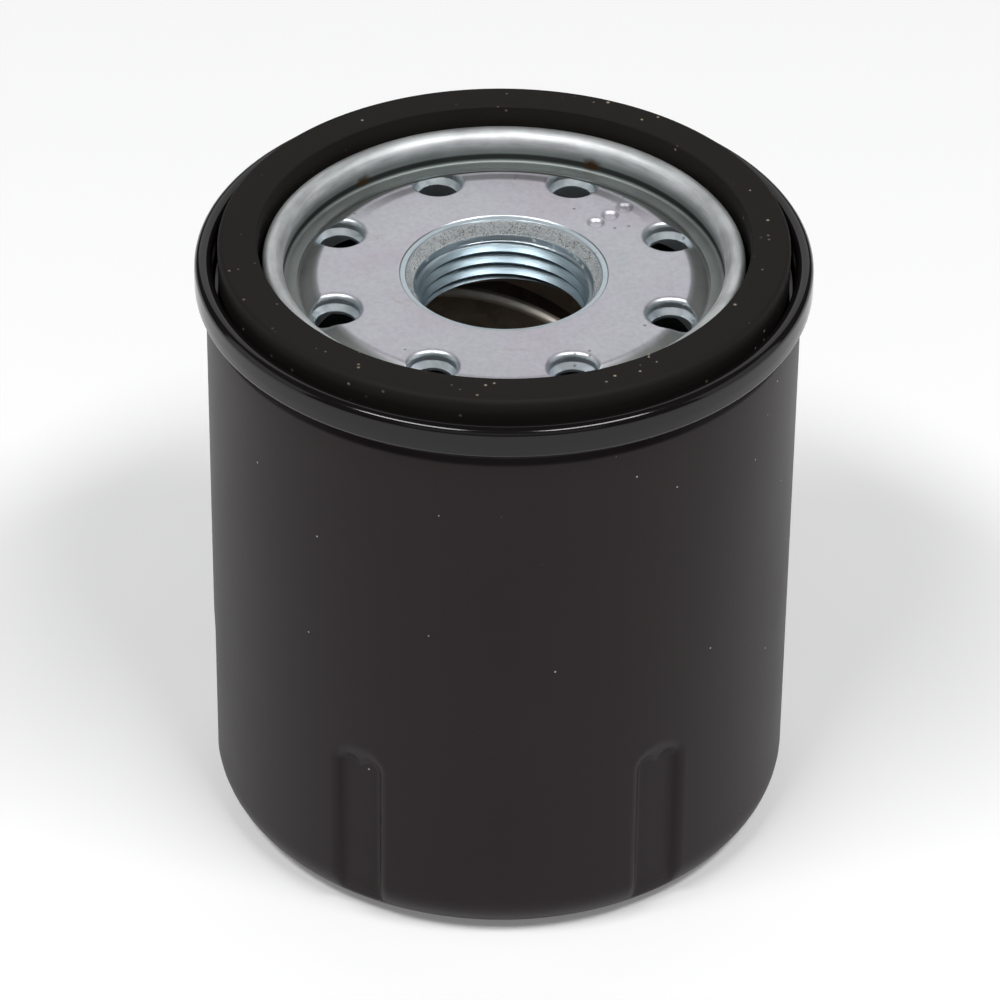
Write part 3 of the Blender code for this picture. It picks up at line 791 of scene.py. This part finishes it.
def makePaper():
    look = paperLook
    low, high = boxOf("filter_paper")
    step = 360 / look["pleats"]
    end = math.degrees(look["endGap"] / look["outer"])
    inner = math.degrees(look["fold"] / 2 / look["inner"])
    outer = math.degrees(look["fold"] / 2 / look["outer"])
    plan = [(look["outer"] - look["endIn"], end)]
    for index in range(look["pleats"]):
        valley = (index + 0.5) * step
        plan += [(look["inner"], valley - inner), (look["inner"], valley + inner)]
        if index < look["pleats"] - 1:
            ridge = (index + 1) * step
            plan += [(look["outer"], ridge - outer), (look["outer"], ridge + outer)]
    plan.append((look["outer"] - look["endIn"], 360 - end))
    corners = [(r * math.cos(math.radians(angle)), r * math.sin(math.radians(angle)), look["turn"])
               for r, angle in plan]
    paper = drawPlan("pleatedPaper", roundedLine(corners, 28), low.z, high.z)
    cleanUp()
    thicken(paper, look["sheet"])
    smooth(paper, 40)
    finish = softMatter("filterPaper", (0.50, 0.33, 0.14), (0.72, 0.54, 0.28), 0.8, 1500, 0.06, (1, 1, 0.2))
    wear(paper, finish)
    return settle(paper, "element", "filter_paper")


clipLook = dict(wall=0.3, bend=0.5)


def makeClip(finish):
    look = clipLook
    low, high = boxOf("paper_seam_clip")
    back = high.x - look["wall"] / 2
    side = high.y - look["wall"] / 2
    corners = [(low.x, side, 0), (back, side, look["bend"]), (back, -side, look["bend"]), (low.x, -side, 0)]
    clip = drawPlan("paperSeamClip", roundedLine(corners), low.z, high.z)
    cleanUp()
    thicken(clip, look["wall"])
    smooth(clip)
    wear(clip, finish)
    return settle(clip, "element", "paper_seam_clip")


drainValveLook = dict(bore=12.05, collar=13.6, lip=26.0, lipTop=64.72, lipFoot=61.9, shoulder=63.6,
                      skirt=23.2, skirtTop=62.9, skirtRoot=14.3, skirtFoot=62.5, travel=1.0)


def makeDrainValve():
    look = drainValveLook
    low, high = boxOf("anti_drain_valve")
    bore, collar, lip, lipTop = look["bore"], look["collar"], look["lip"], look["lipTop"]
    corners = [(12.8, high.z, 0), (collar, high.z, 0.3), (collar + 0.1, look["shoulder"], 1.0),
               (look["skirt"], look["skirtTop"], 1.5), (lip - 1.0, lipTop, 0.4), (lip, lipTop, 0.2),
               (lip - 1.9, look["lipFoot"], 1.6), (look["skirtRoot"], look["skirtFoot"], 0.8),
               (collar, low.z, 0.3), (bore, low.z, 0.2), (bore, high.z, 0.2), (12.8, high.z, 0)]
    finish = softMatter("valveRubber", (0.02, 0.019, 0.018), (0.035, 0.033, 0.03), 0.6, 2600, 0.02)
    valve = ringPiece("antiDrainValve", corners, finish, "housing", "anti_drain_valve")
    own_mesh(valve)
    return valve


seatLook = dict(bore=6.0, lipTop=9.2, shoulder=8.4, rim=8.7, face=7.9, foot=7.45)


def makeValveSeat(finish):
    look = seatLook
    bore, top, rim = look["bore"], look["lipTop"], look["rim"]
    corners = [(bore + 0.3, top, 0), (bore + 0.7, top, 0.25), (bore + 0.9, look["shoulder"], 0.2),
               (rim, look["shoulder"], 0.1), (rim, look["face"], 0.1), (bore + 0.8, look["face"], 0.1),
               (bore + 0.8, look["foot"], 0.1), (bore, look["foot"], 0.1), (bore, top, 0.2),
               (bore + 0.3, top, 0)]
    ringPiece("bypassSeat", corners, finish, "element", "bypass_seat", 96)


cageLook = dict(sheet=0.45, mouth=3.0, wall=9.25, flange=12.8, windowPairs=2, windowWide=7.0, windowTall=6.5,
                windowZ=15.0, windowRound=1.2)


def makeWindowTool(degrees):
    # a bar right across the cage cuts two facing windows
    look = cageLook
    deselect()
    bpy.ops.mesh.primitive_cube_add(size=1.0)
    window = bpy.context.object
    window.scale = (30 * mm, look["windowWide"] * mm, look["windowTall"] * mm)
    window.location.z = look["windowZ"] * mm
    window.rotation_euler.z = math.radians(degrees)
    makeActive(window)
    bpy.ops.object.transform_apply(location=True, rotation=True, scale=True)
    applyModifier(window, 'BEVEL', width=look["windowRound"] * mm, segments=4, limit_method='ANGLE')
    return window


def makeCage(finish):
    look = cageLook
    low, high = boxOf("bypass_cage")
    top = high.z - look["sheet"] / 2
    foot = low.z + look["sheet"] / 2
    corners = [(look["mouth"], top, 0), (look["wall"], top, 0.9), (look["wall"], foot, 0.6),
               (look["flange"], foot, 0)]
    cage = turned("bypassCage", roundedLine(corners, 12), 120, closed=False, sheet=look["sheet"])
    for index in range(look["windowPairs"]):
        cutAway(cage, makeWindowTool(45 + 90 * index))
    smooth(cage)
    wear(cage, finish)
    return settle(cage, "element", "bypass_cage")


poppetLook = dict(nose=4.2, shoulder=3.6, dome=0.6, disc=8.2, discThick=1.0, stem=2.5, sealGap=0.1)


def makePoppet(finish):
    look = poppetLook
    low, high = boxOf("bypass_poppet")
    face = boxOf("bypass_seal")[1].z + look["sealGap"]
    back = face + look["discThick"]
    corners = [(0.0, high.z, 0), (look["shoulder"], high.z, 0.4), (look["nose"], high.z - look["dome"], 0.3),
               (look["nose"], back, 0.2), (look["disc"], back, 0.2), (look["disc"], face, 0.2),
               (look["stem"], face, 0.1), (look["stem"], low.z, 0.3), (0.0, low.z, 0)]
    poppet = turned("bypassPoppet", roundedLine(corners, 20), 96, closed=False)
    wear(poppet, finish)
    return settle(poppet, "bypass_valve", "bypass_poppet")


sealLook = dict(bore=2.7, rim=8.0, edge=0.2)


def makeSeal(finish):
    look = sealLook
    low, high = boxOf("bypass_seal")
    bore, rim, edge = look["bore"], look["rim"], look["edge"]
    corners = [(5.0, high.z, 0), (rim, high.z, edge), (rim, low.z, edge), (bore, low.z, edge),
               (bore, high.z, edge), (5.0, high.z, 0)]
    ringPiece("bypassSeal", corners, finish, "bypass_valve", "bypass_seal", 96)


coilLook = dict(wire=0.9, radius=5.2, turns=3, closedGap=0.12, sides=14, travel=3.0)


def windWire(turns, climb, height):
    # a round of wire at +X, wound up by the screw
    look = coilLook
    deselect()
    bpy.ops.mesh.primitive_circle_add(vertices=look["sides"], radius=look["wire"] / 2 * mm)
    length = bpy.context.object
    bpy.ops.object.mode_set(mode='EDIT')
    bpy.ops.mesh.select_all(action='SELECT')
    bpy.ops.transform.rotate(value=math.pi / 2, orient_axis='X', center_override=(0, 0, 0))
    bpy.ops.transform.translate(value=(look["radius"] * mm, 0, height * mm))
    bpy.ops.object.mode_set(mode='OBJECT')
    applyModifier(length, 'SCREW', steps=60, render_steps=60, screw_offset=climb / turns * mm,
                  iterations=turns, use_merge_vertices=False)
    return length


def makeCoil(finish):
    # closed end turns below and above the open ones
    look = coilLook
    low, high = boxOf("bypass_spring")
    closed = look["wire"] + look["closedGap"]
    height = low.z + look["wire"] / 2
    rise = high.z - low.z - look["wire"] - 2 * closed
    lengths = []
    for turns, climb in ((1, closed), (look["turns"], rise), (1, closed)):
        lengths.append(windWire(turns, climb, height))
        height += climb
    for length in lengths:
        length.select_set(True)
    bpy.context.view_layer.objects.active = lengths[0]
    bpy.ops.object.join()
    coil = bpy.context.object
    coil.name = coil.data.name = "bypassSpring"
    bpy.ops.object.mode_set(mode='EDIT')
    capEnds()
    cleanUp()
    smooth(coil, 50)
    wear(coil, finish)
    settle(coil, "element", "bypass_spring")
    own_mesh(coil)
    return coil


supportLook = dict(sheet=0.5, legSheet=0.44, ringInner=6.6, ringOuter=10.8, legs=4, legWidth=7.0, firstLeg=45,
                   legRoot=9.6, elbow=12.0, knee=20.6, footInner=23.0, footOuter=24.6, toe=26.0, travel=1.5)


def makeSupportLeg(line, degrees):
    look = supportLook
    leg = drawLine("leg", roundedLine(line))
    bpy.ops.mesh.select_all(action='SELECT')
    bpy.ops.transform.translate(value=(0, -look["legWidth"] / 2 * mm, 0))
    bpy.ops.mesh.extrude_region_move(TRANSFORM_OT_translate={"value": (0, look["legWidth"] * mm, 0)})
    bpy.ops.mesh.select_all(action='SELECT')
    bpy.ops.transform.rotate(value=math.radians(degrees), orient_axis='Z', center_override=(0, 0, 0))
    cleanUp()
    thicken(leg, look["legSheet"])
    return leg


def makeSupport(finish):
    look = supportLook
    low, high = boxOf("support_spring")
    inner, outer, sheet = look["ringInner"], look["ringOuter"], look["sheet"]
    corners = [(8.0, high.z, 0), (outer, high.z, 0.15), (outer, high.z - sheet, 0.15),
               (inner, high.z - sheet, 0.15), (inner, high.z, 0.15), (8.0, high.z, 0)]
    spring = turned("supportSpring", roundedLine(corners), 96)
    ring = high.z - sheet / 2
    floor = low.z + sheet / 2
    side = [(look["legRoot"], ring - 0.06, 0), (look["elbow"], ring - 0.5, 2.0),
            (look["knee"], floor + 0.9, 2.5), (look["footInner"], floor, 2.0),
            (look["footOuter"], floor, 1.5), (look["toe"], floor + 0.7, 0)]
    for index in range(look["legs"]):
        leg = makeSupportLeg(side, look["firstLeg"] + 90 * index)
        cutAway(spring, leg, 'UNION')
    smooth(spring)
    wear(spring, finish)
    settle(spring, "housing", "support_spring")
    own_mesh(spring)
    return spring


def coatSealant():
    # the sealing compound keeps its CAD shape
    compound = softMatter("seamCompound", (0.16, 0.15, 0.14), (0.30, 0.29, 0.26), 0.6, 1800, 0.05)
    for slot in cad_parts["seam_sealant"].material_slots:
        slot.material = compound


def makeInside():
    tinplate = plainMetal("tinplate", (0.42, 0.40, 0.37), (0.62, 0.60, 0.56), 0.3)
    bareSteel = plainMetal("bareSteel", (0.40, 0.40, 0.40), (0.60, 0.60, 0.60), 0.28)
    springSteel = plainMetal("springSteel", (0.22, 0.22, 0.23), (0.38, 0.38, 0.40), 0.28)
    resin = softMatter("pottingResin", (0.24, 0.08, 0.04), (0.36, 0.15, 0.08), 0.4, 900, 0.08)
    makeCaps(tinplate)
    makePotting("topPotting", "top_potting", resin, True)
    makePotting("bottomPotting", "bottom_potting", resin, False)
    makePaper()
    makeClip(bareSteel)
    makeDrainValve()
    report("element")
    makeValveSeat(bareSteel)
    makeCage(tinplate)
    makePoppet(bareSteel)
    makeSeal(bpy.data.materials["nitrileRubber"])
    makeCoil(springSteel)
    makeSupport(springSteel)
    report("bypass valve and springs")


viewLook = dict(place=(-0.147, -509.75, 406.35), pitch=35.9, roll=0.657, lens=198.8)


def makeStage():
    deselect()
    bpy.ops.mesh.primitive_plane_add(size=6.0, location=(0, 0, -0.05 * mm))
    floor = bpy.context.object
    floor.name = "paleFloor"
    f = Finish("paleFloor")
    white = f.mix(f.noise(3, 2), (0.88, 0.88, 0.88), (0.90, 0.90, 0.90))
    wear(floor, f.surface(colour=white, glow=white, glowStrength=0.16, roughness=0.8, specular=0.2))


lampLook = dict(aim=(0, 0, 0.04), worldColour=(0.9, 0.92, 0.95, 1), worldStrength=0.06,
                topStrip=dict(place=(0.40, -0.42, 0.98), size=(0.54, 0.18), power=6.0),
                sideSoftbox=dict(place=(0.95, 0.0, 0.36), size=(0.7, 0.6), power=0.95),
                backPanel=dict(place=(0.0, 1.1, 0.85), size=(1.7, 0.9), power=4.1),
                frontFill=dict(place=(0.0, -0.95, 0.50), size=(1.3, 0.5), power=0.8))


def addLight(name, look, side=1):
    place = Vector(look["place"])
    place.x *= side
    bpy.ops.object.light_add(type='AREA', location=place)
    lamp = bpy.context.object
    lamp.name = name
    lamp.data.shape = 'RECTANGLE'
    lamp.data.size, lamp.data.size_y = look["size"]
    lamp.data.energy = look["power"]
    lamp.rotation_euler = (Vector(lampLook["aim"]) - place).to_track_quat('-Z', 'Y').to_euler()


def makeLights():
    look = lampLook
    for name, side in (("left", -1), ("right", 1)):
        addLight(name + "TopStrip", look["topStrip"], side)
        addLight(name + "SideSoftbox", look["sideSoftbox"], side)
    addLight("backPanel", look["backPanel"])
    addLight("frontFill", look["frontFill"])
    world = bpy.data.worlds.new("studio")
    world.use_nodes = True
    background = world.node_tree.nodes["Background"]
    background.inputs["Color"].default_value = look["worldColour"]
    background.inputs["Strength"].default_value = look["worldStrength"]
    bpy.context.scene.world = world
    bpy.context.scene.view_settings.view_transform = 'Standard'


def makeCamera():
    look = viewLook
    bpy.ops.object.camera_add(location=[value * mm for value in look["place"]])
    camera = bpy.context.object
    camera.name = "viewCamera"
    tilt = Euler((math.radians(90 - look["pitch"]), 0, 0)).to_matrix()
    camera.rotation_euler = (tilt @ Matrix.Rotation(math.radians(look["roll"]), 3, 'Z')).to_euler()
    camera.data.sensor_width = 36
    camera.data.lens = look["lens"]
    camera.data.clip_start = 0.01
    bpy.context.scene.camera = camera


report("frame loaded")
makeCase()
report("case")
makeLid()
report("lid")
makeGasket()
report("gasket")
makePlate()
report("base plate")
makeTube()
report("centre tube")

makeInside()
coatSealant()
report("inner pieces")

makeStage()
makeLights()
makeCamera()
report("stage, light and camera")
